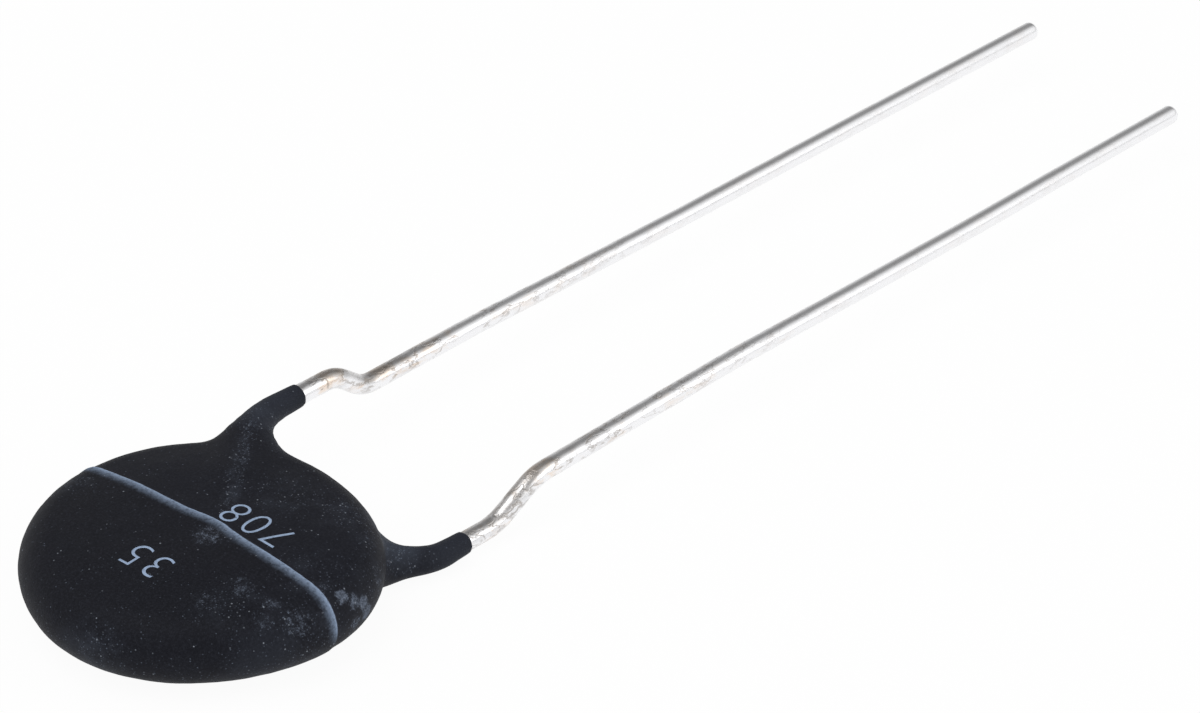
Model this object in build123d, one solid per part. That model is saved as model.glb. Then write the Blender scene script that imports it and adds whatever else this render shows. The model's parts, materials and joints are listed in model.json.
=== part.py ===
from build123d import *
from math import cos, radians, sin, sqrt, tan, tanh
import os

# Disc thermistor with two radial wire leads, lying on one flat of its dipped coat.
# Millimetres, +Z up. The leads run along +X, the upper one on the +Y side. Every piece is drawn about
# the middle plane of the ceramic disc, and is lifted at the end so that the flat under the coat is z = 0.

# Ceramic disc and the silver layers fired onto its two faces
CERAMIC_D = 9.6
CERAMIC_T = 1.25
SILVER_MARGIN = 0.4  # bare ceramic round the silver
ELECTRODE_T = 0.03

# Tinned wire leads
WIRE_D = 0.65
PITCH = 7.5  # between the two straight runs
PAIR_SHIFT_Y = -0.2  # of the pair of leads, from the disc's axis
FACE_ANGLE = 38.7  # of the run across the disc's face, from the leads' direction
FACE_CROSS_X = 0.95  # where the two face runs cross, seen from above
FACE_OVERRUN = 2.0  # wire past the crossing
SHOULDER_R = 1.5  # bend from the face run to the straight run, at the wire's centre
STRAIGHT_LIFT = 0.1  # of both straight runs, above the disc's middle plane
UPPER_KINK_START = 3.67  # of the step down to the straight run, past the shoulder's corner
UPPER_KINK_LENGTH = 1.2
UPPER_KINK_R = 1.2
UPPER_TIP_X = 43.8
LOWER_KINK_START = 2.62
LOWER_KINK_LENGTH = 1.8
LOWER_KINK_R = 1.9
LOWER_TIP_X = 42.2
TIP_CHAMFER = 0.1

# Solder that wets the wire and the silver
SOLDER_W = 1.7
SOLDER_H = 0.5
SOLDER_CREST_W = 0.5
SOLDER_START = -1.6  # along the face run, from the crossing
SOLDER_END = 2.4

# Dipped coat: a first dip over the whole disc and a second over the half away from the leads
COAT_SIDE_T = 0.675  # over the ceramic's edge
COAT_T = 3.0
COAT_FLAT_D = 5.0
RIM_R = 1.2  # of the round edge, in section
SECOND_DIP_T = 0.05

# Legs of coat drawn out along the wires
UPPER_COAT_RUN = 2.12  # past the shoulder's corner
LOWER_COAT_RUN = 1.32
LEG_INSET = 2.9  # how far inside the rim a leg begins
LEG_ROOT_R = 0.43
LEG_END_R = 0.36
WEB_HALF_W = 0.9  # added to the leg's half width by the web, inside the rim
WEB_HALF_H = 0.35  # added to its half height, all of it towards the middle plane
WEB_LENGTH = 0.8  # over which the web fades past the rim
LEG_STATIONS = 7

ELECTRODE_D = CERAMIC_D - 2 * SILVER_MARGIN
COAT_D = CERAMIC_D + 2 * COAT_SIDE_T
WIRE_R = WIRE_D / 2
UPPER_Y = PITCH / 2 + PAIR_SHIFT_Y
LOWER_Y = PITCH / 2 - PAIR_SHIFT_Y  # on the other side of the disc's axis
FACE_Z = CERAMIC_T / 2 + ELECTRODE_T  # top of the silver
WIRE_Z = FACE_Z + WIRE_R  # the wire lies on the silver
RUN = Vector(cos(radians(FACE_ANGLE)), sin(radians(FACE_ANGLE)), 0)


def face_point(along, height):
    """Point over the upper face run, at a distance along it from the crossing."""
    return Vector(FACE_CROSS_X, 0, height) + RUN * along


def shoulder(lead_y):
    """Corner where the face run would meet the straight run."""
    return Vector(FACE_CROSS_X + lead_y / tan(radians(FACE_ANGLE)), lead_y, WIRE_Z)


def on_lower_side(piece):
    """A piece of the upper face turned over about the X axis."""
    return Rot(X=180) * piece


def ceramic_disc():
    return Cylinder(CERAMIC_D / 2, CERAMIC_T)


def electrode():
    """Silver layer on the upper face."""
    middle = CERAMIC_T / 2 + ELECTRODE_T / 2
    return Pos(0, 0, middle) * Cylinder(ELECTRODE_D / 2, ELECTRODE_T)


def lead(lead_y, kink_start, kink_length, kink_r, straight_z, tip_x):
    """Wire across the upper face, out over the rim, and down a step to the straight run."""
    start, corner = face_point(-FACE_OVERRUN, WIRE_Z), shoulder(lead_y)
    step_top = corner + Vector(kink_start, 0, 0)
    path = FilletPolyline(
        start,
        corner,
        step_top,
        (step_top.X + kink_length, lead_y, straight_z),
        (tip_x, lead_y, straight_z),
        radius=[SHOULDER_R, kink_r, kink_r],
    )
    wire = sweep(Plane(start, z_dir=path % 0) * Circle(WIRE_R), path)
    return chamfer(wire.edges().sort_by(Axis.X)[-1], TIP_CHAMFER)


def solder():
    """Mound along the upper face run, with round ends, before the wire is cut out of it."""
    foot, crest = SOLDER_W / 2, SOLDER_CREST_W / 2
    half = make_face(Polyline((0, 0), (foot, 0), (crest, SOLDER_H), (0, SOLDER_H), close=True))
    section = half + mirror(half, about=Plane.YZ)
    start, end = face_point(SOLDER_START, FACE_Z), face_point(SOLDER_END, FACE_Z)
    across = Vector(0, 0, 1).cross(RUN)
    ridge = extrude(Plane(start, x_dir=across, z_dir=RUN) * section, amount=SOLDER_END - SOLDER_START)
    round_end = revolve(Plane.XZ * half, axis=Axis.Z)
    return ridge + Pos(start) * round_end + Pos(end) * round_end


def dome_centre(radius, height, flat, rim_r):
    """Height of the centre of the dome's arc, which leaves the flat's edge and meets the rim in line."""
    steep = height / rim_r
    gap = (flat**2 + height**2 - rim_r**2 - (radius - rim_r) ** 2) / (2 * rim_r)
    a, b, c = steep**2 - 1, -2 * steep * gap, gap**2 - (radius - rim_r) ** 2
    return (-b - sqrt(b**2 - 4 * a * c)) / (2 * a)


def dip_section(diameter, thickness, rim_r):
    """Half section of one dipped layer: flat in the middle, then a shallow dome, then a round rim."""
    radius, height, flat = diameter / 2, thickness / 2, COAT_FLAT_D / 2
    centre_z = dome_centre(radius, height, flat, rim_r)
    dome_r = sqrt(flat**2 + (height - centre_z) ** 2)
    meeting = Vector(0, centre_z) + Vector(radius - rim_r, -centre_z).normalized() * dome_r
    dome = RadiusArc((flat, height), meeting, dome_r)
    rim = TangentArc(meeting, (radius, 0), tangent=dome % 1)
    straights = [Line((radius, 0), (0, 0)), Line((0, 0), (0, height)), Line((0, height), (flat, height))]
    upper = make_face([*straights, dome, rim])
    return upper + mirror(upper, about=Plane.XZ)


def first_dip():
    """Dip over the whole disc."""
    section = dip_section(COAT_D - 2 * SECOND_DIP_T, COAT_T - 2 * SECOND_DIP_T, RIM_R - SECOND_DIP_T)
    return revolve(Plane.XZ * section, axis=Axis.Z)


def second_dip():
    """Dip over the half away from the leads. Its edge runs across the disc's middle."""
    return revolve(Plane.YZ * dip_section(COAT_D, COAT_T, RIM_R), axis=Axis.Z, revolution_arc=180)


def leg(lead_y, coat_run):
    """Coat drawn out along the upper wire: a trumpet at the rim, tapering to the bare wire."""
    corner = shoulder(lead_y)
    to_rim = (corner - Vector(0, 0, corner.Z)).length - COAT_D / 2
    root = corner - RUN * (to_rim + LEG_INSET)
    path = FilletPolyline(root, corner, corner + Vector(coat_run, 0, 0), radius=SHOULDER_R)
    stations = []
    for step in range(LEG_STATIONS):
        t = step / (LEG_STATIONS - 1)
        past_rim = path.length * t - LEG_INSET
        neck = LEG_ROOT_R + (LEG_END_R - LEG_ROOT_R) * t
        web = (1 - tanh(past_rim / WEB_LENGTH)) / 2
        tangent = path % t
        centre = path @ t - Vector(0, 0, WEB_HALF_H * web)
        place = Plane(centre, x_dir=Vector(0, 0, 1).cross(tangent), z_dir=tangent)
        stations.append(place * Ellipse(neck + WEB_HALF_W * web, neck + WEB_HALF_H * web))
    return loft(stations)


def coat_outside():
    """Both dips and both legs, before the cavity is cut."""
    disc = first_dip() + second_dip()
    return disc + leg(UPPER_Y, UPPER_COAT_RUN) + on_lower_side(leg(LOWER_Y, LOWER_COAT_RUN))


def assemble():
    """Every piece by its node's name, about the middle plane."""
    upper_lead = lead(
        UPPER_Y, UPPER_KINK_START, UPPER_KINK_LENGTH, UPPER_KINK_R, STRAIGHT_LIFT, UPPER_TIP_X
    )
    lower_lead = on_lower_side(
        lead(LOWER_Y, LOWER_KINK_START, LOWER_KINK_LENGTH, LOWER_KINK_R, -STRAIGHT_LIFT, LOWER_TIP_X)
    )
    mound = solder()
    pieces = {
        "ceramic_disc": ceramic_disc(),
        "upper_electrode": electrode(),
        "lower_electrode": on_lower_side(electrode()),
        "upper_solder": mound - upper_lead,
        "lower_solder": on_lower_side(mound) - lower_lead,
        "upper_lead": upper_lead,
        "lower_lead": lower_lead,
    }
    coating = coat_outside()
    for piece in pieces.values():
        coating = coating - piece
    pieces["coating"] = coating
    return pieces


os.makedirs("parts", exist_ok=True)
onto_rest_face = Pos(0, 0, COAT_T / 2)
for name, piece in assemble().items():
    export_step(onto_rest_face * piece, f"parts/{name}.step")
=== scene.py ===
"""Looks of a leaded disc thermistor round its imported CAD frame, laid out as an add-on."""

import json
import math

import bmesh
import bpy
from mathutils import Matrix, Vector
from mathutils.bvhtree import BVHTree


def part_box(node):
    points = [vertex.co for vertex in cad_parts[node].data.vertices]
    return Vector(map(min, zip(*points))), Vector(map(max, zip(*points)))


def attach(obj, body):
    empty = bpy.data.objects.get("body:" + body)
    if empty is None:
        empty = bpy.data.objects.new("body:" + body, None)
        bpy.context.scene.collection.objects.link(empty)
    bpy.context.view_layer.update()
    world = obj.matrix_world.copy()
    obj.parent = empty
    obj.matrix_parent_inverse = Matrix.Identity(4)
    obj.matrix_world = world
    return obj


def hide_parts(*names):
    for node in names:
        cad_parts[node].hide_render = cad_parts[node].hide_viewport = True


bl_info = {
    "name": "Leaded Disc Thermistor",
    "version": (1, 0, 0),
    "blender": (4, 5, 0),
    "location": "View3D > Sidebar > Thermistor",
    "description": "Dresses a leaded disc thermistor: dipped coat, tinned wires, digits and a stage",
    "category": "Object",
}

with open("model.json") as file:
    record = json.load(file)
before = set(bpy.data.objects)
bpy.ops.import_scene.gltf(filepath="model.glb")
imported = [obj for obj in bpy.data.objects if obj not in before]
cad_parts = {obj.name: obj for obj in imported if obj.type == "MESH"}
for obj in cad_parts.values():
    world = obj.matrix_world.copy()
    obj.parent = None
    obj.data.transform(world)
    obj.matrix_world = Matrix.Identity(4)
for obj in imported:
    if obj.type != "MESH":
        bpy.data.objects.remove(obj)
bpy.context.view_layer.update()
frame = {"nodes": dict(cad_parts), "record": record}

MM = 0.001  # metres in a millimetre; the lengths below are millimetres until MM turns them

# From the frame
COAT_LOW, COAT_HIGH = (Vector(corner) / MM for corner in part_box("coating"))
UPPER_HIGH = Vector(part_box("upper_lead")[1]) / MM
LOWER_LOW, LOWER_HIGH = (Vector(corner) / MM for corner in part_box("lower_lead"))
SILVER_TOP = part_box("upper_electrode")[1][2] / MM
WIRE_R = next(
    mount["dims"]["r_mm"] for mount in frame["record"]["mounts"] if mount["name"] == "upper_lead_pin"
)
COAT_T = COAT_HIGH.z - COAT_LOW.z
MID_Z = (COAT_HIGH.z + COAT_LOW.z) / 2  # of the ceramic disc
COAT_R = (COAT_HIGH.y - COAT_LOW.y) / 2

# Wires: the run across the silver, the shoulder, and the step to the straight run. kink_start and
# coat_run are counted from the shoulder's corner, and strays are places on the straight run as (x, rise)
FACE_ANGLE = math.radians(38.7)
FACE_CROSS_X = 0.95  # where the two face runs cross, seen from above
FACE_OVERRUN = 2.0  # wire past the crossing
RUN = Vector((math.cos(FACE_ANGLE), math.sin(FACE_ANGLE), 0))
WIRE_RISE = SILVER_TOP - MID_Z + WIRE_R
STRAIGHT_LIFT = 0.1  # of both straight runs, away from the disc's middle plane
ARC_STEP = math.radians(6)  # between two points of a bend
WIRES = {
    "upper_wire": {
        "node": "upper_lead", "side": 1, "y": UPPER_HIGH.y - WIRE_R, "tip": UPPER_HIGH.x,
        "kink_start": 3.67, "kink_length": 1.2, "kink_r": 1.2, "coat_run": 2.12, "shoulder_r": 3.5,
        "kink_end_rise": -0.02, "strays": ((15.5, 0.05), (20.0, 0.0), (25.0, -0.03), (34.0, 0.0)),
        "seed": 3.0,
    },
    "lower_wire": {
        "node": "lower_lead", "side": -1, "y": -LOWER_LOW.y - WIRE_R, "tip": LOWER_HIGH.x,
        "kink_start": 2.62, "kink_length": 1.8, "kink_r": 1.9, "coat_run": 1.32, "shoulder_r": 1.5,
        "kink_end_rise": -0.12, "strays": ((19.5, 0.06), (25.0, 0.0), (31.0, -0.04), (35.5, 0.0)),
        "seed": 11.0,
    },
}
STRAY_R = 60.0  # of the slight bends where a hand-straightened run strays
RING_POINTS = 28
DENT_LEVEL = 0.55  # of the noise, where a dented wire keeps its radius
DENTS_FADE = (12.0, 34.0)  # along X, where the wire was handled less and less
DENTS_LOST = 0.75  # share of their depth, by the end of that stretch

# Legs of the coat
LEG_INSET = 2.6  # how far inside the rim a leg's line begins
COAT_PAST_END = 0.8  # of a leg's line, beyond where the coat is cut off
NECK_TAPER = 2.7  # past the rim, over which a leg narrows to its end

# Reach of the coat's soft edges: round its flat top, at a leg's end, and round the flat it rests on
FLAT_EDGE = 0.2
LEG_END_EDGE = 0.04
REST_EDGE = 0.06
UNEVENNESS_ROOM = 0.02  # taken off the thickness, so that unevenness stays in the CAD box
VOXEL = 0.078  # of the grid that the coat's surface is drawn from
GRID_MARGIN = Vector((0.5, 0.5, 0.3))  # of that grid, round the CAD box

# Slow waves of the coat's outline in plan: how many round it, their height, and the first one's turn
OUTLINE_WAVES = ((3, 0.076, math.radians(53)), (4, 0.026, math.radians(19)))

# Edge of the second dip, in plan
DIP_LINE_X = 0.19
DIP_BULGE = 0.16  # towards the wires, near the middle
DIP_BULGE_Y = -0.45
DIP_BULGE_WIDTH = 0.9
DIP_WANDER = 0.08
DIP_EDGE = 0.05  # half the width of its step
DIP_LIP_WIDTH = 0.4
DIP_LIP_HEIGHTS = (1.4, 2.3)  # between which the lip grows, up the rim

# Digits
DIGIT_ROWS = {"upper_row": (-2.0, -1.35), "lower_row": (1.55, -2.75)}  # where each row starts
DIGIT_OF_SIZE = 0.7  # a digit's height over its font's size
DIGIT_SPACING = 1.15
STROKE_OFFSET = -0.03  # thins the strokes
FOLD_REACH = 0.005  # within which points of a folded corner merge
DIGIT_GRID = 0.16  # of the cuts that let a digit follow the coat

# View: the photograph's angle and framing, from a fit of the wires and the coat's outline
IMAGE_W = 1200
SENSOR_MM = 36
CAMERA_AZIMUTH = math.radians(-46.83)
CAMERA_ELEVATION = math.radians(31)
CAMERA_DISTANCE = 150
FOCAL_PX = 5024.6
DISC_PX = (200.8 - IMAGE_W / 2, 561.0 - 713 / 2)  # of the disc's centre, from the image's centre

# Studio: a dim side over the wires and a bright one beside the camera, each with the cosines of the
# angles where it begins and where it is full
DIM_SIDE = Vector((0.625, 0.24, 0.742)).normalized()
DIM_CONE = (0.76, 0.96)
BRIGHT_SIDE = Vector((0.625, -0.5, 0.6)).normalized()
BRIGHT_CONE = (0.8, 0.96)
LAMPS = {"key": (300, (-140, 20, 300)), "fill": (200, (140, -260, 140))}  # width and place
LAMP_AIM = Vector((12, 0, 0))
FLOOR_DROP = 0.02  # keeps the floor off the coat's flat
FLOOR_GLOW = 0.95  # share of plain white in the floor, where it is seen directly


# Node trees written as expressions


class Signal:
    """A node's output that Python's operators work on, one Math node each."""

    def __init__(self, graph, socket):
        self.graph = graph
        self.socket = socket

    def math(self, operation, *others):
        return self.graph.math(operation, self, *others)

    def __add__(self, other):
        return self.math("ADD", other)

    def __sub__(self, other):
        return self.math("SUBTRACT", other)

    def __mul__(self, other):
        return self.math("MULTIPLY", other)

    def __truediv__(self, other):
        return self.math("DIVIDE", other)

    def __pow__(self, other):
        return self.math("POWER", other)

    def __gt__(self, other):
        return self.math("GREATER_THAN", other)

    def __neg__(self):
        return self * -1.0

    def __abs__(self):
        return self.math("ABSOLUTE")

    def __radd__(self, other):
        return self + other

    def __rmul__(self, other):
        return self * other

    def __rsub__(self, other):
        return self.graph.math("SUBTRACT", other, self)

    def __rtruediv__(self, other):
        return self.graph.math("DIVIDE", other, self)


class Graph:
    """A node tree under construction."""

    def __init__(self, tree):
        self.tree = tree

    def feed(self, node, inputs):
        """Sets or links inputs of a node, by name or number."""
        for key, value in inputs.items():
            if isinstance(value, Signal):
                self.tree.links.new(value.socket, node.inputs[key])
            else:
                node.inputs[key].default_value = value

    def node(self, kind, inputs=None, settings=None):
        """Any new node: its settings, then the values or links of its inputs. Gives its outputs."""
        node = self.tree.nodes.new(kind)
        for name, value in (settings or {}).items():
            setattr(node, name, value)
        self.feed(node, inputs or {})
        return [Signal(self, socket) for socket in node.outputs]

    def add(self, kind, inputs=None, settings=None, out=0):
        """A node of which one output is wanted."""
        return self.node(kind, inputs, settings)[out]

    def math(self, operation, *values):
        return self.add("ShaderNodeMath", dict(enumerate(values)), {"operation": operation})

    def vector(self, operation, *values, scale=None, out=0):
        inputs = dict(enumerate(values))
        if scale is not None:
            inputs["Scale"] = scale
        return self.add("ShaderNodeVectorMath", inputs, {"operation": operation}, out)

    def xyz(self, vector):
        return self.node("ShaderNodeSeparateXYZ", {0: vector})

    def combine(self, x=0.0, y=0.0, z=0.0):
        return self.add("ShaderNodeCombineXYZ", {0: x, 1: y, 2: z})

    def step(self, value, low, high):
        """Smooth rise from 0 at low to 1 at high; a fall where low is the larger."""
        if low > high:
            return 1 - self.step(value, high, low)
        inputs = {"Value": value, "From Min": low, "From Max": high}
        return self.add("ShaderNodeMapRange", inputs, {"interpolation_type": "SMOOTHSTEP"})

    def noise(self, vector, scale, detail=3.0, roughness=0.55, stretch=None, seed=0.0):
        """Noise from 0 to 1. stretch slows it down along an axis; seed moves it."""
        if stretch:
            vector = self.vector("DIVIDE", vector, stretch)
        inputs = {"Vector": vector, "W": seed, "Scale": scale, "Detail": detail, "Roughness": roughness}
        return self.add("ShaderNodeTexNoise", inputs, {"noise_dimensions": "4D"})

    def mix(self, factor, a, b):
        """Blend of two colours."""
        return self.add("ShaderNodeMix", {0: factor, 6: a, 7: b}, {"data_type": "RGBA"}, out=2)


def past_dip_line(graph, point):
    """Millimetres from the second dip's edge, positive on the half away from the wires."""
    x, y, _ = graph.xyz(point)
    bulge = (0 - ((y - DIP_BULGE_Y) / DIP_BULGE_WIDTH) ** 2).math("EXPONENT") * DIP_BULGE
    wander = (graph.noise(graph.combine(y=y), 1.1, detail=3.0, seed=4.0) - 0.5) * DIP_WANDER
    return DIP_LINE_X + bulge + wander - x


# Materials


def new_material(name):
    """A material with its Principled shader, and its graph."""
    material = bpy.data.materials.new(name)
    material.use_nodes = True
    graph = Graph(material.node_tree)
    return material, graph, material.node_tree.nodes["Principled BSDF"]


def object_mm(graph):
    """Object coordinates in millimetres."""
    point = graph.add("ShaderNodeTexCoord", out=3)
    return graph.vector("SCALE", point, scale=1 / MM)


def bump(graph, height, strength, distance):
    inputs = {"Height": height, "Strength": strength, "Distance": distance * MM}
    return graph.add("ShaderNodeBump", inputs)


# Smears on the coat: centre and radius in millimetres, and how strongly
SMEARS = (
    ((0.75, -5.25, 2.25), 0.4, 1.3),
    ((1.1, -5.35, 1.95), 0.45, 1.1),
    ((1.5, -5.35, 1.75), 0.4, 1.5),
    ((1.65, -5.4, 1.35), 0.45, 1.3),
    ((1.05, -5.5, 1.35), 0.5, 0.8),
    ((4.6, -3.8, 1.3), 1.3, 0.5),
    ((0.3, -4.9, 2.6), 0.5, 0.5),
    ((-1.05, -5.2, 2.2), 0.75, 0.75),
    ((-1.9, -4.8, 2.4), 0.6, 0.6),
    ((-1.35, -4.5, 2.65), 0.5, 0.7),
    ((-1.45, -3.5, 2.85), 0.75, 0.65),
    ((-2.7, -3.2, 2.8), 0.7, 0.5),
    ((-0.35, -0.85, 3.0), 0.9, 0.8),
    ((-0.9, 4.6, 2.6), 0.8, 0.5),
    ((3.75, -2.5, 2.7), 0.8, 0.5),
    ((3.1, -4.0, 2.5), 0.7, 0.5),
    ((2.6, -4.9, 1.8), 0.8, 0.45),
)
# Places of a painted sheen on the rims, legs and webs, where the coat is paler all over: as above
SHEEN_SPOTS = (
    ((4.95, -3.1, 1.5), 1.5, 2.0),
    ((6.6, -4.0, 0.6), 2.0, 0.7),
    ((6.2, 3.5, 2.5), 2.2, 0.9),
    ((5.3, 1.6, 1.8), 1.6, 0.9),
    ((-5.3, -0.6, 1.2), 1.2, 0.4),
    ((-2.2, -5.0, 1.1), 1.6, 0.5),
)
# Dusty places, where specks crowd: as above
DUSTY = (
    ((-5.3, -1.3, 1.6), 1.3, 0.9),
    ((-0.6, -5.5, 1.5), 1.8, 0.8),
    ((2.4, -5.0, 1.8), 1.5, 0.8),
    ((0.5, -4.2, 2.8), 1.8, 0.6),
    ((-2.2, -3.8, 2.6), 1.6, 0.5),
    ((3.6, -2.9, 2.6), 1.8, 0.5),
    ((5.2, 3.0, 2.6), 1.3, 0.8),
    ((-0.9, 4.6, 2.6), 0.9, 0.5),
    ((3.0, -0.9, 2.9), 1.9, 0.6),
)
# A dusty streak over the upper wire, in plan
STREAK_FROM = Vector((0.9, -0.26))
STREAK_TO = Vector((5.0, 3.02))
# The wires' steps, where the tin is creased and the painted shade on top is deeper: as above
CREASED = (((9.7, 3.5, 1.9), 1.7, 1.0), ((9.3, -3.95, 1.0), 1.7, 1.0))


def spots(graph, point, places):
    """1 at the middle of each place, times its strength, fading to 0 at its radius."""
    most = 0.0
    for centre, radius, strength in places:
        away = graph.vector("DISTANCE", point, centre, out=1)
        most = (graph.step(away, radius, radius * 0.25) * strength).math("MAXIMUM", most)
    return most


def specks(graph, point, scale, size, share):
    """Small round specks in that share of the cells, some fainter than others."""
    away, cell, *_ = graph.node("ShaderNodeTexVoronoi", {"Vector": point, "Scale": scale})
    lot, strength, _ = graph.xyz(cell)
    return graph.step(away, size, size * 0.5) * (lot + share > 1.0) * (0.2 + strength**2 * 0.8)


def streak(graph, x, y):
    """1 along the dusty streak, fading to its sides and ends."""
    along = (STREAK_TO - STREAK_FROM).normalized()
    start, end = STREAK_FROM.dot(along), STREAK_TO.dot(along)
    aside = abs(x * along.y - y * along.x - STREAK_FROM.x * along.y + STREAK_FROM.y * along.x)
    reach = x * along.x + y * along.y
    return graph.step(aside, 0.45, 0.05) * graph.step(reach, start - 0.3, start + 0.5) * graph.step(
        reach, end + 0.8, end - 0.4
    )


def coat_material(settings):
    """Matt dipped resin: smears, dust, pinholes, a painted sheen on the rims and legs, and the pale lip
    of the second dip with its painted highlight.
    """
    material, graph, shader = new_material("dipped_resin")
    point = object_mm(graph)
    x, y, z = graph.xyz(point)
    cloud = graph.noise(point, 0.55, detail=4.0, roughness=0.6, seed=1.0)
    grain = graph.noise(point, 14.0, detail=3.0, roughness=0.7, seed=2.0)
    flecks = graph.noise(point, 6.5, detail=8.0, roughness=0.85, seed=5.0)

    # Smears, dust and pinholes
    dusty_streak = streak(graph, x, y)
    smeared = spots(graph, point, SMEARS).math("MAXIMUM", dusty_streak * 0.5)
    haze = graph.step(flecks + smeared * 0.2, 0.62, 0.76) * graph.step(smeared, 0.0, 0.4)
    haze = haze * (0.35 + graph.step(grain, 0.42, 0.62) * 0.65)
    dusty = spots(graph, point, DUSTY).math("MAXIMUM", dusty_streak)
    low_rim = graph.step(z, 2.2, 0.9) * graph.step(x, 6.0, 5.0)
    dusty = (dusty + smeared * 0.5 + low_rim * 0.35).math("MINIMUM", 1.0)
    film = graph.step(graph.noise(point, 1.6, detail=5.0, roughness=0.7, seed=8.0), 0.4, 0.7) * dusty

    dust = specks(graph, point, 14.0, 0.4, dusty * 0.5 + 0.07)
    crumbs = specks(graph, point, 7.0, 0.24, dusty * 0.38 + 0.04)
    pinholes = specks(graph, point, 2.4, 0.085, 0.25)
    # Painted sheen: the coat made paler where its rims, legs and webs would catch soft light
    pale = spots(graph, point, SHEEN_SPOTS)

    # The second dip's lip, palest at its edge: a scuffed, lighter edge of the coat with a painted
    # highlight on it
    past = past_dip_line(graph, point)
    brushed = graph.noise(point, 7.0, detail=4.0, roughness=0.7, seed=6.0)
    reach = 0.42 + (brushed - 0.5) * 0.3
    lip = ((reach - past) / reach).math("MAXIMUM", 0.0).math("MINIMUM", 1.0) ** 1.9
    lip = lip * graph.step(past, -0.04, 0.02) * (0.55 + graph.step(grain + brushed, 0.75, 1.1) * 0.45)
    lip = lip * graph.step(z, 0.9, 1.8)

    # Colours, from the coat's own to what lies on it
    once_dipped = graph.step(past, 0.1, -0.1)
    colour = graph.mix(cloud * 0.7 + once_dipped * 0.3, settings.dark, settings.light)
    colour = graph.mix(graph.step(grain, 0.4, 0.75) * 0.6, colour, settings.grainy)
    # Smear film, and the painted sheen in the smear colour
    colour = graph.mix(film * 0.08 + pale * 0.1, colour, settings.smear)
    colour = graph.mix(haze * 0.9, colour, settings.smear)
    colour = graph.mix(dust * 0.45, colour, settings.smear)
    colour = graph.mix(lip, colour, settings.lip)
    colour = graph.mix((crumbs * 0.45).math("MAXIMUM", pinholes * 0.75), colour, settings.speck)
    height = grain * 0.5 + flecks * 0.4 + haze * 0.3 - pinholes * 0.5
    graph.feed(shader, {
        "Base Color": colour,
        "Roughness": 0.6 + cloud * 0.1 + haze * 0.2 + lip * 0.1,
        "Specular IOR Level": 0.13,
        "Normal": bump(graph, height, 0.5, 0.02),
    })
    return material


def ink_material(settings):
    """Pale ink over the dark coat, rubbed through in places."""
    material, graph, shader = new_material("worn_ink")
    point = object_mm(graph)
    bare = graph.step(graph.noise(point, 9.0, detail=4.0, roughness=0.7, seed=7.0), 0.56, 0.74)
    tone = graph.noise(point, 2.5, detail=2.0, seed=9.0)
    colour = graph.mix(tone * 0.6, settings.ink, settings.faded_ink)
    colour = graph.mix(bare * 0.7, colour, settings.dark)
    graph.feed(shader, {"Base Color": colour, "Roughness": 0.62})
    return material


def tinned_material(settings):
    """Hot-tinned copper wire: wrinkled and warm where tin is thin near the steps, smoother beyond, with
    a painted shade on the tops of the steps.
    """
    material, graph, shader = new_material("tinned_copper")
    point = object_mm(graph)
    x, _, _ = graph.xyz(point)
    dents = graph.noise(point, 2.0, detail=2.0, roughness=0.5, stretch=(2.2, 1.0, 1.0), seed=1.0)
    drawn = graph.noise(point, 7.0, detail=3.0, roughness=0.6, stretch=(12.0, 1.0, 1.0), seed=2.0)
    patchy = graph.noise(point, 1.4, detail=5.0, roughness=0.7, stretch=(1.8, 1.0, 1.0), seed=3.0)
    fine = graph.noise(point, 16.0, detail=2.0, seed=4.0)
    folds = graph.noise(point, 2.4, detail=4.0, roughness=0.6, stretch=(2.4, 1.0, 1.0), seed=6.0)
    folds = abs(folds - 0.5)
    _, _, upward = graph.xyz(graph.add("ShaderNodeNewGeometry", out=1))
    worked = graph.step(x, 26.0, 10.0) * 0.85 + 0.15
    bent = graph.step(x, 16.0, 10.5)
    creased = spots(graph, point, CREASED)
    # Painted shade on the upward faces near the steps, where the wire mirrors the dim side, deeper at
    # the creases and mottled with brown
    tarnish = graph.step(upward + creased * 0.3, 0.55, 0.9)
    tarnish = tarnish * (0.4 + graph.step(patchy, 0.35, 0.6) * 0.6) * bent
    wrinkles = graph.step(folds, 0.035, 0.0) * graph.step(patchy, 0.38, 0.52) * worked
    wrinkles = wrinkles.math("MAXIMUM", graph.step(folds, 0.06, 0.0) * creased)
    # Marks fade towards the underside, so that side is painted cleaner and lighter than the top
    facing_up = graph.step(upward, -0.75, 0.2)  # less on the underside
    wrinkles = wrinkles * (0.4 + facing_up * 0.6)
    thin_tin = graph.step(patchy * 0.75 + drawn * 0.25, 0.49, 0.6) * (worked * 0.6 + bent * 0.4)
    thin_tin = thin_tin * (0.25 + facing_up * 0.75)
    dull = graph.step(dents * 0.8 + drawn * 0.2, 0.5, 0.68) * worked * (0.35 + facing_up * 0.65)
    colour = graph.mix(dull * 0.4, settings.tin, settings.dull_tin)
    colour = graph.mix(thin_tin * 0.6, colour, settings.copper_tint)
    colour = graph.mix(wrinkles * 0.6, colour, settings.seam)
    colour = graph.mix(tarnish * (0.6 + creased * 0.2), colour, settings.tarnish)
    height = dents * worked * (0.3 + bent * 0.6) - wrinkles * 0.25 + fine * bent * 0.03 + drawn * 0.05
    graph.feed(shader, {
        "Base Color": colour,
        "Metallic": 1.0,
        "Roughness": 0.24 + dull * 0.12 + drawn * 0.06,
        "Normal": bump(graph, height, 0.6, 0.04),
    })
    return material


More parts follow.
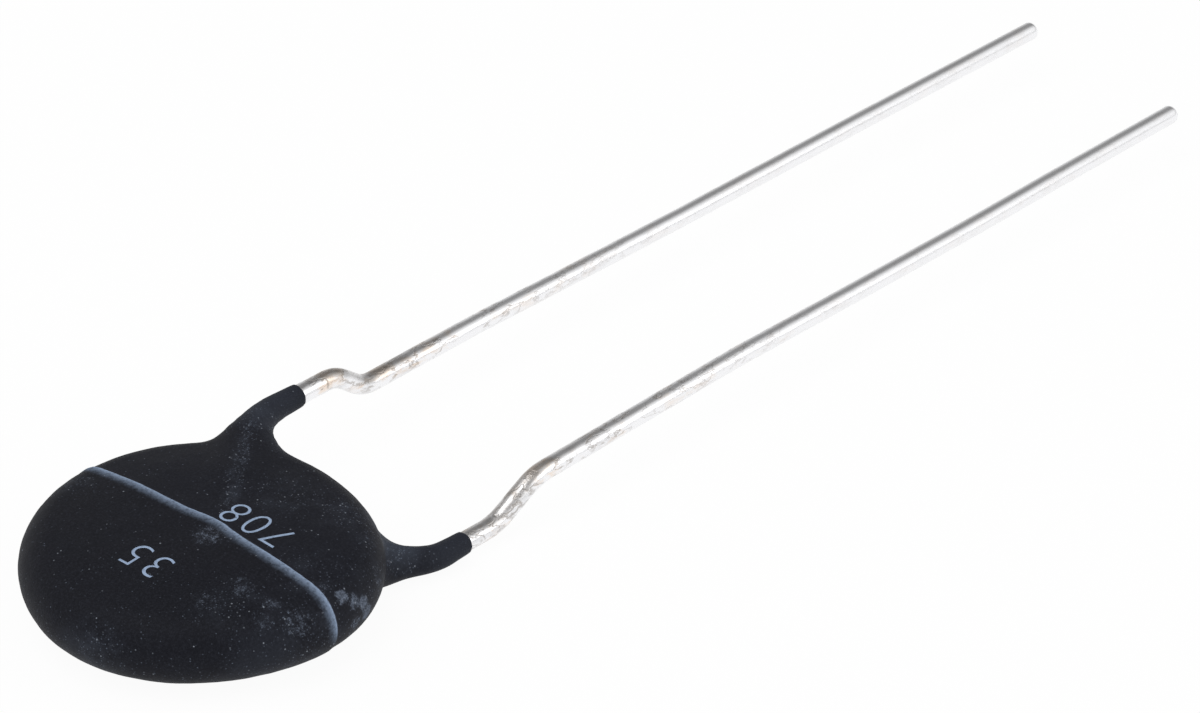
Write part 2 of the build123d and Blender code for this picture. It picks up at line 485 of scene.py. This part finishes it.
def ceramic_material():
    """Sintered oxide: dark, dry and granular."""
    material, graph, shader = new_material("sintered_oxide")
    point = object_mm(graph)
    grains = graph.add("ShaderNodeTexVoronoi", {"Vector": point, "Scale": 9.0})
    cloud = graph.noise(point, 1.2, detail=4.0, seed=1.0)
    colour = graph.mix(cloud, (0.045, 0.042, 0.04, 1), (0.12, 0.11, 0.1, 1))
    colour = graph.mix(graph.step(grains, 0.2, 0.6) * 0.4, colour, (0.17, 0.155, 0.14, 1))
    graph.feed(shader, {
        "Base Color": colour,
        "Roughness": 0.8 - cloud * 0.1,
        "Normal": bump(graph, grains, 0.4, 0.02),
    })
    return material


def silver_material():
    """Fired silver: a pale satin layer with the screen's faint mesh."""
    material, graph, shader = new_material("fired_silver")
    point = object_mm(graph)
    x, y, _ = graph.xyz(point)
    mesh = (x * 28).math("SINE") * (y * 28).math("SINE")
    cloud = graph.noise(point, 1.5, detail=4.0, seed=2.0)
    colour = graph.mix(cloud, (0.62, 0.6, 0.55, 1), (0.85, 0.84, 0.8, 1))
    graph.feed(shader, {
        "Base Color": colour,
        "Metallic": 1.0,
        "Roughness": 0.42 + cloud * 0.15,
        "Normal": bump(graph, mesh, 0.2, 0.005),
    })
    return material


def solder_material():
    """Cooled solder: bright, with frosted grains."""
    material, graph, shader = new_material("cooled_solder")
    point = object_mm(graph)
    frost = graph.add("ShaderNodeTexVoronoi", {"Vector": point, "Scale": 6.0})
    flow = graph.noise(point, 1.6, detail=4.0, seed=5.0)
    colour = graph.mix(flow, (0.5, 0.5, 0.51, 1), (0.78, 0.78, 0.78, 1))
    graph.feed(shader, {
        "Base Color": colour,
        "Metallic": 1.0,
        "Roughness": 0.25 + frost * 0.25,
        "Normal": bump(graph, flow + frost * 0.4, 0.4, 0.03),
    })
    return material


# Shapes


def bent_line(corners, radii):
    """Points of a run of straight lines with a round bend at each inner corner."""
    points = [corners[0]]
    for before, corner, after, radius in zip(corners, corners[1:], corners[2:], radii):
        inward, outward = (corner - before).normalized(), (after - corner).normalized()
        turn = inward.angle(outward)
        axis = inward.cross(outward).normalized()
        start = corner - inward * radius * math.tan(turn / 2)
        centre = start + axis.cross(inward) * radius
        steps = max(2, round(turn / ARC_STEP))
        for step in range(steps + 1):
            turned = Matrix.Rotation(turn * step / steps, 3, axis) @ (start - centre)
            points.append(centre + turned)
    points.append(corners[-1])
    return points


def shoulder_corner(wire):
    """Corner between the face run and the straight run, as if the wire lay on the upper face."""
    return Vector((FACE_CROSS_X + wire["y"] / math.tan(FACE_ANGLE), wire["y"], WIRE_RISE))


def coat_end_x(wire):
    return shoulder_corner(wire).x + wire["coat_run"]


def to_place(point, side):
    """From the upper face about the disc's middle plane to the wire's own face in the frame."""
    return Vector((point.x, point.y * side, MID_Z + point.z * side))


def wire_line(wire):
    """The whole wire's centre line, in millimetres, with the slight bends of its straight run."""
    start = Vector((FACE_CROSS_X, 0, WIRE_RISE)) - RUN * FACE_OVERRUN
    corner = shoulder_corner(wire)
    step_top = corner + Vector((wire["kink_start"], 0, 0))
    kink_end = (step_top.x + wire["kink_length"], wire["kink_end_rise"])
    straight = [
        Vector((x, wire["y"], (STRAIGHT_LIFT + rise) * wire["side"]))
        for x, rise in (kink_end, *wire["strays"], (wire["tip"], 0.0))
    ]
    radii = [wire["shoulder_r"], wire["kink_r"], wire["kink_r"], *[STRAY_R] * len(wire["strays"])]
    points = bent_line([start, corner, step_top, *straight], radii)
    return [to_place(point, wire["side"]) for point in points]


def leg_line(wire):
    """Centre line of the coat's leg, from inside the disc to past the coat's end."""
    corner = shoulder_corner(wire)
    root = corner - RUN * (corner.xy.length - COAT_R + LEG_INSET)
    end = corner + Vector((wire["coat_run"] + COAT_PAST_END, 0, 0))
    points = bent_line([root, corner, end], [wire["shoulder_r"]])
    return [to_place(point, wire["side"]) for point in points]


def line_object(name, lines):
    """An object whose mesh is a few open strings of edges, given in millimetres."""
    points, edges = [], []
    for line in lines:
        first = len(points)
        points += [point * MM for point in line]
        edges += [(i, i + 1) for i in range(first, len(points) - 1)]
    mesh = bpy.data.meshes.new(name)
    mesh.from_pydata(points, edges, [])
    piece = bpy.data.objects.new(name, mesh)
    bpy.context.scene.collection.objects.link(piece)
    return piece


def geometry_tree(name, labels):
    """A Geometry Nodes tree with named inputs. Gives its graph and the inputs by name."""
    tree = bpy.data.node_groups.new(name, "GeometryNodeTree")
    tree.interface.new_socket("Geometry", in_out="INPUT", socket_type="NodeSocketGeometry")
    for label in labels:
        tree.interface.new_socket(label, in_out="INPUT", socket_type="NodeSocketFloat")
    tree.interface.new_socket("Geometry", in_out="OUTPUT", socket_type="NodeSocketGeometry")
    graph = Graph(tree)
    inputs = graph.node("NodeGroupInput")
    return graph, {signal.socket.name: signal for signal in inputs if signal.socket.name}


def finish_tree(graph, geometry, material):
    """Ends a tree in Realize Instances, smooth shading and Set Material."""
    real = graph.add("GeometryNodeRealizeInstances", {0: geometry})
    smooth = graph.add("GeometryNodeSetShadeSmooth", {0: real})
    dressed = graph.add("GeometryNodeSetMaterial", {0: smooth, "Material": material})
    graph.node("NodeGroupOutput", {0: dressed})


def bake_tree(piece, tree, sizes):
    """Runs a tree on a piece with its inputs set, and leaves the result as a plain mesh."""
    modifier = piece.modifiers.new(tree.name, "NODES")
    modifier.node_group = tree
    for item in tree.interface.items_tree:
        if item.name in sizes:
            modifier[item.identifier] = sizes[item.name]
    depsgraph = bpy.context.evaluated_depsgraph_get()
    mesh = bpy.data.meshes.new_from_object(piece.evaluated_get(depsgraph), depsgraph=depsgraph)
    piece.modifiers.clear()
    piece.data = mesh
    mesh.name = piece.name


def disc_distance(graph, point, size):
    """Distance in millimetres to the dipped disc: a flat middle, a shallow dome and a round rim."""
    x, y, z = graph.xyz(point)
    x, y = x - size["Centre X"], y - size["Centre Y"]
    cosine, sine = size["Oval Turn"].math("COSINE"), size["Oval Turn"].math("SINE")
    short, long = x * cosine + y * sine, y * cosine - x * sine
    across = ((short / size["Oval"]) ** 2 + long**2).math("SQRT")
    angle = y.math("ARCTAN2", x)
    for count, high, turn in OUTLINE_WAVES:
        across = across - ((angle - turn) * count).math("COSINE") * high
    height = abs(z - MID_Z)
    half, rim = size["Thickness"] / 2, size["Rim Radius"]
    edge = size["Across"] / 2 - rim
    # Height of the dome's centre, so that its arc leaves the flat and meets the rim in line
    steep = half / rim
    flat = size["Flat"] / 2
    gap = (flat**2 + half**2 - rim**2 - edge**2) / (2 * rim)
    a, b, c = steep**2 - 1, steep * gap * -2, gap**2 - edge**2
    centre = (-b - (b**2 - 4 * a * c).math("SQRT")) / (2 * a)
    dome_r = (flat**2 + (half - centre) ** 2).math("SQRT")
    to_dome = (across**2 + (height - centre) ** 2).math("SQRT") - dome_r
    to_rim = ((across - edge) ** 2 + height**2).math("SQRT") - rim
    on_rim = across * (0 - centre) > edge * (height - centre)
    to_side = to_dome + on_rim * (to_rim - to_dome)
    return to_side.math("SMOOTH_MAX", height - half, FLAT_EDGE)


def leg_distance(graph, point, legs, size):
    """Distance in millimetres to the nearer leg: a neck round the wire that widens into a web."""
    nearest = graph.add("GeometryNodeProximity", {0: legs}, {"target_element": "EDGES"})
    nearest = graph.vector("SCALE", nearest, scale=1 / MM)
    x, y, z = graph.xyz(point)
    near_x, near_y, near_z = graph.xyz(nearest)
    aside = ((x - near_x) ** 2 + (y - near_y) ** 2).math("SQRT")
    side = near_y.math("SIGN")
    outside = (y - near_y) * side > 0.0
    from_axis = (near_x**2 + near_y**2).math("SQRT")
    past_rim = from_axis - size["Across"] / 2
    upper = near_y > 0.0

    def of_side(label):
        """The size of this leg's web on this side."""
        values = {}
        for leg in ("Upper", "Lower"):
            inner, outer = size[f"{leg} Inner {label}"], size[f"{leg} Outer {label}"]
            values[leg] = inner + outside * (outer - inner)
        return values["Lower"] + upper * (values["Upper"] - values["Lower"])

    web = (1 - (past_rim / of_side("Length")).math("TANH")) / 2
    end_x = size["Lower End"] + upper * (size["Upper End"] - size["Lower End"])
    along = (past_rim / NECK_TAPER).math("MAXIMUM", 0.0).math("MINIMUM", 1.0)
    neck = size["Neck"] + along * (size["Neck End"] - size["Neck"])
    half_w = neck + of_side("Web") * web
    half_h = neck + size["Web Height"] * web
    rise = (z - near_z) * side + size["Web Height"] * web
    ring = ((aside / half_w) ** 2 + (rise / half_h) ** 2).math("SQRT")
    tube = (ring - 1) * half_h
    return tube.math("SMOOTH_MAX", x - end_x, LEG_END_EDGE)


def coat_tree(labels, voxel, material):
    """The dipped coat as one surface: disc and legs melt together, and the second dip is added."""
    graph, size = geometry_tree("Dipped Coat", labels)
    position = graph.add("GeometryNodeInputPosition")
    point = graph.vector("SCALE", position, scale=1 / MM)
    _, _, z = graph.xyz(point)
    disc = disc_distance(graph, point, size)
    past = past_dip_line(graph, point)
    twice_dipped = graph.step(past, -DIP_EDGE, DIP_EDGE)
    layer = size["Second Dip"] * twice_dipped
    ridge = size["Dip Lip"] * twice_dipped * graph.step(past, DIP_LIP_WIDTH, DIP_EDGE)
    disc = disc - layer - ridge * graph.step(z, *DIP_LIP_HEIGHTS)
    legs = leg_distance(graph, point, size["Geometry"], size)
    whole = disc.math("SMOOTH_MIN", legs, size["Blend"])
    swell = graph.noise(point, 0.42, detail=2.0, seed=3.0) - 0.5
    ripple = graph.noise(point, 2.2, detail=3.0, roughness=0.6, seed=6.0) - 0.5
    whole = whole - swell * size["Swell"] - ripple * size["Ripple"]
    whole = whole.math("SMOOTH_MAX", COAT_LOW.z - z, REST_EDGE)
    low, high = (COAT_LOW - GRID_MARGIN) * MM, (COAT_HIGH + GRID_MARGIN) * MM
    counts = [round(span / (voxel * MM)) for span in high - low]
    at_surface = 0.5  # the grid's value, which falls outwards
    volume = graph.add("GeometryNodeVolumeCube", {
        "Density": at_surface - whole, "Background": 0.0, "Min": low, "Max": high,
        "Resolution X": counts[0], "Resolution Y": counts[1], "Resolution Z": counts[2],
    })
    surface = graph.add("GeometryNodeVolumeToMesh", {"Volume": volume, "Threshold": at_surface})
    finish_tree(graph, surface, material)
    return graph.tree


def wire_tree(labels, material):
    """A round wire swept along its line, with hammered tin and a softened tip."""
    graph, size = geometry_tree("Tinned Wire", labels)
    line = graph.add("GeometryNodeMeshToCurve", {0: size["Geometry"]})
    line = graph.add(
        "GeometryNodeResampleCurve", {"Curve": line, "Length": size["Ring Spacing"] * MM},
        {"mode": "LENGTH"},
    )
    position = graph.add("GeometryNodeInputPosition")
    x, _, _ = graph.xyz(graph.vector("SCALE", position, scale=1 / MM))
    to_tip = ((size["Tip"] - x) / size["Tip Round"]).math("MAXIMUM", 0.0).math("MINIMUM", 1.0)
    rounding = (1 - (1 - to_tip) ** 2).math("SQRT")
    narrow = 1 - (1 - rounding) * size["Tip Round"] / size["Radius"]
    ring = graph.add(
        "GeometryNodeCurvePrimitiveCircle",
        {"Resolution": RING_POINTS, "Radius": size["Radius"] * MM},
    )
    tube = graph.add(
        "GeometryNodeCurveToMesh",
        {"Curve": line, "Profile Curve": ring, "Scale": narrow, "Fill Caps": True},
    )
    normal = graph.add("GeometryNodeInputNormal")
    point = graph.vector("SCALE", graph.add("GeometryNodeInputPosition"), scale=1 / MM)
    dents = graph.noise(
        point, 1.9, detail=2.0, roughness=0.55, stretch=(1.7, 1.0, 1.0), seed=size["Seed"]
    )
    calm = graph.step(x, *DENTS_FADE)
    depth = (dents - DENT_LEVEL) * size["Dent Depth"] * (1 - calm * DENTS_LOST) * MM
    dented = graph.add(
        "GeometryNodeSetPosition", {0: tube, "Offset": graph.vector("SCALE", normal, scale=depth)}
    )
    finish_tree(graph, dented, material)
    return graph.tree


def only_material(piece, material):
    piece.data.materials.clear()
    piece.data.materials.append(material)


def settle(piece, node):
    """Puts a finished piece on the body and has it stand for its CAD node."""
    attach(piece, "root")
    if node:
        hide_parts(node)


# Settings


def length_setting(name, description, default):
    return bpy.props.FloatProperty(
        name=name, description=description, default=default * MM, unit="LENGTH", precision=6
    )


def colour_setting(name, description, default):
    return bpy.props.FloatVectorProperty(
        name=name, description=description, default=(*default, 1.0), subtype="COLOR", size=4,
        min=0.0, max=1.0,
    )


def lengths_mm(settings):
    """The lengths of a settings group in millimetres, by the names of a tree's inputs."""
    return {
        setting.name: getattr(settings, setting.identifier) / MM
        for setting in settings.bl_rna.properties
        if setting.type == "FLOAT" and setting.unit == "LENGTH"
    }


class CoatSettings(bpy.types.PropertyGroup):
    """Sizes and colours of the dipped coat"""

    across: length_setting("Across", "Width of the dipped disc the long way", 11.18)
    oval: bpy.props.FloatProperty(
        name="Oval", description="Width of the disc the short way over the long way", default=0.968
    )
    oval_turn: bpy.props.FloatProperty(
        name="Oval Turn", description="Turn of the short way from the wires' direction",
        default=math.radians(-11), subtype="ANGLE",
    )
    centre_x: length_setting("Centre X", "Place of the coat's middle along the wires", 0.024)
    centre_y: length_setting("Centre Y", "Place of the coat's middle across the wires", 0.0)
    flat: length_setting("Flat", "Width of the flat middle", 5.0)
    rim: length_setting("Rim Radius", "Radius of the round rim, in section", 1.2)
    second_dip: length_setting("Second Dip", "Thickness that the second dip adds", 0.03)
    dip_lip: length_setting("Dip Lip", "Extra height of the second dip's edge", 0.035)
    neck: length_setting("Neck", "Radius of a leg at the rim", 0.47)
    neck_end: length_setting("Neck End", "Radius of a leg where the bare wire starts", 0.37)
    upper_inner_web: length_setting("Upper Inner Web", "Web of the upper leg, between the legs", 0.95)
    upper_outer_web: length_setting("Upper Outer Web", "Web of the upper leg, on its outer side", 0.6)
    lower_inner_web: length_setting("Lower Inner Web", "Web of the lower leg, between the legs", 0.66)
    lower_outer_web: length_setting("Lower Outer Web", "Web of the lower leg, on its outer side", 1.36)
    upper_inner_length: length_setting("Upper Inner Length", "Distance over which that web fades", 1.1)
    upper_outer_length: length_setting("Upper Outer Length", "Distance over which that web fades", 0.55)
    lower_inner_length: length_setting("Lower Inner Length", "Distance over which that web fades", 0.46)
    lower_outer_length: length_setting("Lower Outer Length", "Distance over which that web fades", 1.02)
    web_height: length_setting("Web Height", "Half height that the web adds", 0.35)
    blend: length_setting("Blend", "Reach of the soft join between disc and legs", 0.6)
    swell: length_setting("Swell", "Slow unevenness of the coat", 0.1)
    ripple: length_setting("Ripple", "Small unevenness of the coat", 0.025)
    dark: colour_setting("Dark", "Main colour of the coat", (0.003, 0.0033, 0.006))
    light: colour_setting("Light", "Lighter colour of the coat", (0.0078, 0.0086, 0.0138))
    grainy: colour_setting("Grain", "Colour of the coat's pale grain", (0.02, 0.022, 0.031))
    # Colour of smears and dust, and of the painted sheen
    smear: colour_setting("Smear", "Colour of smears and dust", (0.155, 0.185, 0.245))
    # Colour of the lip: its scuffed edge and a painted highlight
    lip: colour_setting("Lip", "Colour of the second dip's edge", (0.31, 0.4, 0.56))
    speck: colour_setting("Speck", "Colour of pinholes and dust", (0.42, 0.46, 0.53))


class PrintSettings(bpy.types.PropertyGroup):
    """Plain digits on the coat"""

    upper_row: bpy.props.StringProperty(
        name="Upper Row", description="Digits on the second dip", default="35"
    )
    lower_row: bpy.props.StringProperty(
        name="Lower Row", description="Digits nearer the wires", default="708"
    )
    height: length_setting("Digit Height", "Height of a digit", 1.12)
    thickness: length_setting("Ink Thickness", "How far the ink stands above the coat", 0.006)
    ink: colour_setting("Ink", "Colour of the ink", (0.32, 0.42, 0.59))
    faded_ink: colour_setting("Faded Ink", "Colour of thinner ink", (0.2, 0.265, 0.385))
    dark: colour_setting("Worn Through", "Colour where the ink is gone", (0.02, 0.022, 0.028))


class WireSettings(bpy.types.PropertyGroup):
    """Finish of the tinned wires"""

    ring_spacing: length_setting("Ring Spacing", "Distance between rings of the wire's mesh", 0.07)
    dent_depth: length_setting("Dent Depth", "Depth of the hammered texture", 0.028)
    tip_round: length_setting("Tip Round", "Rounding of the cut end", 0.22)
    tin: colour_setting("Tin", "Colour of clean tin", (0.93, 0.93, 0.945))
    dull_tin: colour_setting("Dull Tin", "Colour of dull tin", (0.5, 0.5, 0.515))
    copper_tint: colour_setting(
        "Thin Tin", "Colour where copper shows through thin tin", (0.85, 0.64, 0.46)
    )
    seam: colour_setting("Seam", "Colour in the wrinkles of the tin", (0.25, 0.21, 0.17))
    # Colour of the painted shade on the tops of the steps, with a brown tarnished tone
    tarnish: colour_setting(
        "Tarnish", "Colour on top of the steps, where it is darkest", (0.35, 0.325, 0.3)
    )


class StageSettings(bpy.types.PropertyGroup):
    """Floor and lights"""

    floor: length_setting("Floor", "Width of the floor", 2000.0)
    floor_colour: colour_setting("Floor Colour", "Colour of the floor", (0.95, 0.95, 0.95))
    key_power: bpy.props.FloatProperty(
        name="Key Power", description="Power of the large lamp over the wires", default=0.5,
        unit="POWER",
    )
    fill_power: bpy.props.FloatProperty(
        name="Fill Power", description="Power of the lamp beside the camera", default=0.12,
        unit="POWER",
    )
    sky: bpy.props.FloatProperty(
        name="Sky", description="Strength of the soft light from all round", default=0.6
    )
    dim_sky: bpy.props.FloatProperty(
        name="Dim Sky", description="Strength of that light over the wires", default=0.25
    )
    bright_sky: bpy.props.FloatProperty(
        name="Bright Sky", description="Strength of that light beside the camera", default=0.92
    )


# Operators


class THERMISTOR_OT_camera(bpy.types.Operator):
    """Places the camera at the photograph's angle"""

    bl_idname = "thermistor.camera"
    bl_label = "Camera"

    def execute(self, context):
        level = math.cos(CAMERA_ELEVATION)
        back = Vector(
            (
                math.sin(CAMERA_AZIMUTH) * level,
                -math.cos(CAMERA_AZIMUTH) * level,
                math.sin(CAMERA_ELEVATION),
            )
        )
        right = Vector((0, 0, 1)).cross(back).normalized()
        up = back.cross(right)
        px = CAMERA_DISTANCE / FOCAL_PX  # millimetres to a pixel at the disc
        centre = Vector((0, 0, MID_Z)) - right * DISC_PX[0] * px + up * DISC_PX[1] * px
        centre += back * CAMERA_DISTANCE
        data = bpy.data.cameras.new("camera")
        data.sensor_width = SENSOR_MM
        data.lens = FOCAL_PX / IMAGE_W * SENSOR_MM
        data.clip_start = MM
        data.clip_end = 10
        camera = bpy.data.objects.new("camera", data)
        axes = Matrix((right, up, back)).transposed().to_4x4()
        camera.matrix_world = Matrix.Translation(centre * MM) @ axes
        context.scene.collection.objects.link(camera)
        context.scene.camera = camera
        return {"FINISHED"}


class THERMISTOR_OT_coat(bpy.types.Operator):
    """Makes the dipped coat: disc, webs, legs and the second dip"""

    bl_idname = "thermistor.coat"
    bl_label = "Dipped Coat"

    def execute(self, context):
        look = context.scene.thermistor_coat
        sizes = {
            **lengths_mm(look),
            "Oval": look.oval,
            "Oval Turn": look.oval_turn,
            "Thickness": COAT_T - 2 * look.second_dip / MM - UNEVENNESS_ROOM,
            "Upper End": coat_end_x(WIRES["upper_wire"]),
            "Lower End": coat_end_x(WIRES["lower_wire"]),
        }
        voxel = VOXEL
        coat = line_object("coat", [leg_line(wire) for wire in WIRES.values()])
        material = coat_material(look)
        bake_tree(coat, coat_tree(sizes, voxel, material), sizes)
        only_material(coat, material)
        settle(coat, "coating")
        return {"FINISHED"}


class THERMISTOR_OT_wires(bpy.types.Operator):
    """Makes the two tinned wires along their own lines"""

    bl_idname = "thermistor.wires"
    bl_label = "Tinned Wires"

    def execute(self, context):
        look = context.scene.thermistor_wires
        material = tinned_material(look)
        shared = {**lengths_mm(look), "Radius": WIRE_R}
        tree = wire_tree([*shared, "Tip", "Seed"], material)
        for name, wire in WIRES.items():
            piece = line_object(name, [wire_line(wire)])
            bake_tree(piece, tree, {**shared, "Tip": wire["tip"], "Seed": wire["seed"]})
            only_material(piece, material)
            settle(piece, wire["node"])
        return {"FINISHED"}


class THERMISTOR_OT_print(bpy.types.Operator):
    """Prints plain digits on the coat, following its surface"""

    bl_idname = "thermistor.print"
    bl_label = "Printed Digits"

    def execute(self, context):
        look = context.scene.thermistor_print
        coat = bpy.data.objects["coat"]
        surface = BVHTree.FromObject(coat, context.evaluated_depsgraph_get())
        glyphs = flat_digits(context, look)
        slice_up(glyphs, DIGIT_GRID)
        for vertex in glyphs.verts:
            above = Vector((vertex.co.x, vertex.co.y, COAT_HIGH.z + 1)) * MM
            hit, _, _, _ = surface.ray_cast(above, Vector((0, 0, -1)))
            if hit is None:
                raise RuntimeError("a digit of the print lies off the coat")
            vertex.co = hit + Vector((0, 0, look.thickness))
        mesh = bpy.data.meshes.new("printed_digits")
        glyphs.to_mesh(mesh)
        glyphs.free()
        digits = bpy.data.objects.new("printed_digits", mesh)
        context.scene.collection.objects.link(digits)
        wall = digits.modifiers.new("ink", "SOLIDIFY")
        wall.thickness = look.thickness * 2
        wall.offset = -1
        only_material(digits, ink_material(look))
        settle(digits, None)
        return {"FINISHED"}


def flat_digits(context, look):
    """Both rows of digits in one flat mesh, in millimetres."""
    glyphs = bmesh.new()
    for digits, (x, y) in DIGIT_ROWS.items():
        curve = bpy.data.curves.new("row", "FONT")
        curve.body = getattr(look, digits)
        curve.size = look.height / MM / DIGIT_OF_SIZE
        curve.space_character = DIGIT_SPACING
        curve.offset = STROKE_OFFSET
        row = bpy.data.objects.new("row", curve)
        context.scene.collection.objects.link(row)
        depsgraph = context.evaluated_depsgraph_get()
        mesh = bpy.data.meshes.new_from_object(row.evaluated_get(depsgraph))
        mesh.transform(Matrix.Translation((x, y, 0)) @ Matrix.Rotation(math.radians(90), 4, "Z"))
        glyphs.from_mesh(mesh)
        bpy.data.objects.remove(row)
    # Thinning the strokes folds a corner over itself; merging its points opens it out
    bmesh.ops.remove_doubles(glyphs, verts=glyphs.verts[:], dist=FOLD_REACH)
    loose = [edge for edge in glyphs.edges if edge.is_wire]
    bmesh.ops.delete(glyphs, geom=loose, context="EDGES")
    return glyphs


def slice_up(shape, spacing):
    """Cuts a flat mesh along a square grid, so that it can follow a curved surface."""
    for axis in range(2):
        values = [vertex.co[axis] for vertex in shape.verts]
        cut = min(values) + spacing
        while cut < max(values):
            normal = [0.0, 0.0, 0.0]
            normal[axis] = 1.0
            place = [0.0, 0.0, 0.0]
            place[axis] = cut
            everything = shape.verts[:] + shape.edges[:] + shape.faces[:]
            bmesh.ops.bisect_plane(shape, geom=everything, plane_co=place, plane_no=normal)
            cut += spacing
    bmesh.ops.triangulate(shape, faces=shape.faces[:])


class THERMISTOR_OT_inside(bpy.types.Operator):
    """Gives the hidden ceramic, silver and solder their materials"""

    bl_idname = "thermistor.inside"
    bl_label = "Ceramic, Silver and Solder"

    def execute(self, context):
        silver, solder = silver_material(), solder_material()
        only_material(frame["nodes"]["ceramic_disc"], ceramic_material())
        for face in ("upper", "lower"):
            only_material(frame["nodes"][face + "_electrode"], silver)
            only_material(frame["nodes"][face + "_solder"], solder)
        return {"FINISHED"}


class THERMISTOR_OT_stage(bpy.types.Operator):
    """Lays a plain white floor and sets soft lamps"""

    bl_idname = "thermistor.stage"
    bl_label = "Stage"

    def execute(self, context):
        look = context.scene.thermistor_stage
        scene = context.scene
        scene.view_settings.view_transform = "Standard"
        half = look.floor / 2
        mesh = bpy.data.meshes.new("floor")
        corners = [(-half, -half), (half, -half), (half, half), (-half, half)]
        mesh.from_pydata([(x, y, -FLOOR_DROP * MM) for x, y in corners], [], [(0, 1, 2, 3)])
        floor = bpy.data.objects.new("floor", mesh)
        scene.collection.objects.link(floor)
        mesh.materials.append(floor_material(look))
        for name, (width, place) in LAMPS.items():
            soft_lamp(name, getattr(look, name + "_power"), width, Vector(place))
        studio_world(scene, look)
        return {"FINISHED"}


def soft_lamp(name, power, width, place):
    """A square lamp aimed at the part."""
    data = bpy.data.lights.new(name, "AREA")
    data.energy = power
    data.size = width * MM
    lamp = bpy.data.objects.new(name, data)
    lamp.location = place * MM
    lamp.rotation_euler = (LAMP_AIM - place).to_track_quat("-Z", "Y").to_euler()
    bpy.context.scene.collection.objects.link(lamp)


def seen_directly(graph):
    """1 for camera, mirror and glass rays."""
    rays = {ray.socket.name: ray for ray in graph.node("ShaderNodeLightPath")}
    seen = rays["Is Camera Ray"].math("MAXIMUM", rays["Is Glossy Ray"])
    return seen.math("MAXIMUM", rays["Is Transmission Ray"])


def floor_material(look):
    """White floor that keeps a faint shadow."""
    material, graph, shader = new_material("floor_paper")
    graph.feed(
        shader, {"Base Color": look.floor_colour, "Roughness": 0.9, "Specular IOR Level": 0.0}
    )
    paper = Signal(graph, shader.outputs[0])
    white = graph.add("ShaderNodeEmission", {"Color": (1, 1, 1, 1), "Strength": 1.0})
    glow = seen_directly(graph) * FLOOR_GLOW
    mixed = graph.add("ShaderNodeMixShader", {0: glow, 1: paper, 2: white})
    graph.feed(material.node_tree.nodes["Material Output"], {"Surface": mixed})
    return material


def studio_world(scene, look):
    """Soft light from all round, dimmer over the wires, and white where the camera sees it."""
    world = bpy.data.worlds.new("studio_light")
    world.use_nodes = True
    graph = Graph(world.node_tree)
    direction = graph.add("ShaderNodeTexCoord")
    toward_dim = graph.vector("DOT_PRODUCT", direction, DIM_SIDE, out=1)
    toward_bright = graph.vector("DOT_PRODUCT", direction, BRIGHT_SIDE, out=1)
    level = look.sky + graph.step(toward_dim, *DIM_CONE) * (look.dim_sky - look.sky)
    level = level + graph.step(toward_bright, *BRIGHT_CONE) * (look.bright_sky - look.sky)
    camera = graph.add("ShaderNodeLightPath")
    level = level + camera * (1 - level)
    graph.feed(world.node_tree.nodes["Background"], {"Color": (1, 1, 1, 1), "Strength": level})
    scene.world = world


class THERMISTOR_PT_panel(bpy.types.Panel):
    """Lists the steps that dress the thermistor"""

    bl_idname = "THERMISTOR_PT_panel"
    bl_label = "Disc Thermistor"
    bl_space_type = "VIEW_3D"
    bl_region_type = "UI"
    bl_category = "Thermistor"

    def draw(self, context):
        for step in STEPS:
            self.layout.operator(step.bl_idname)
        for group in SETTINGS:
            box = self.layout.box()
            values = getattr(context.scene, group)
            for name in values.bl_rna.properties.keys():
                if name not in ("rna_type", "name"):
                    box.prop(values, name)


SETTINGS = {
    "thermistor_coat": CoatSettings,
    "thermistor_print": PrintSettings,
    "thermistor_wires": WireSettings,
    "thermistor_stage": StageSettings,
}
STEPS = (
    THERMISTOR_OT_camera,
    THERMISTOR_OT_coat,
    THERMISTOR_OT_wires,
    THERMISTOR_OT_print,
    THERMISTOR_OT_inside,
    THERMISTOR_OT_stage,
)


def register():
    for settings in SETTINGS.values():
        bpy.utils.register_class(settings)
    for step in (*STEPS, THERMISTOR_PT_panel):
        bpy.utils.register_class(step)
    for name, settings in SETTINGS.items():
        setattr(bpy.types.Scene, name, bpy.props.PointerProperty(type=settings))


def unregister():
    for name in SETTINGS:
        delattr(bpy.types.Scene, name)
    for step in (THERMISTOR_PT_panel, *reversed(STEPS)):
        bpy.utils.unregister_class(step)
    for settings in reversed(SETTINGS.values()):
        bpy.utils.unregister_class(settings)


def main():
    """Runs every step in order."""
    register()
    bpy.ops.thermistor.camera()
    bpy.ops.thermistor.coat()
    bpy.ops.thermistor.wires()
    bpy.ops.thermistor.print()
    bpy.ops.thermistor.inside()
    bpy.ops.thermistor.stage()


if __name__ == "__main__":
    main()
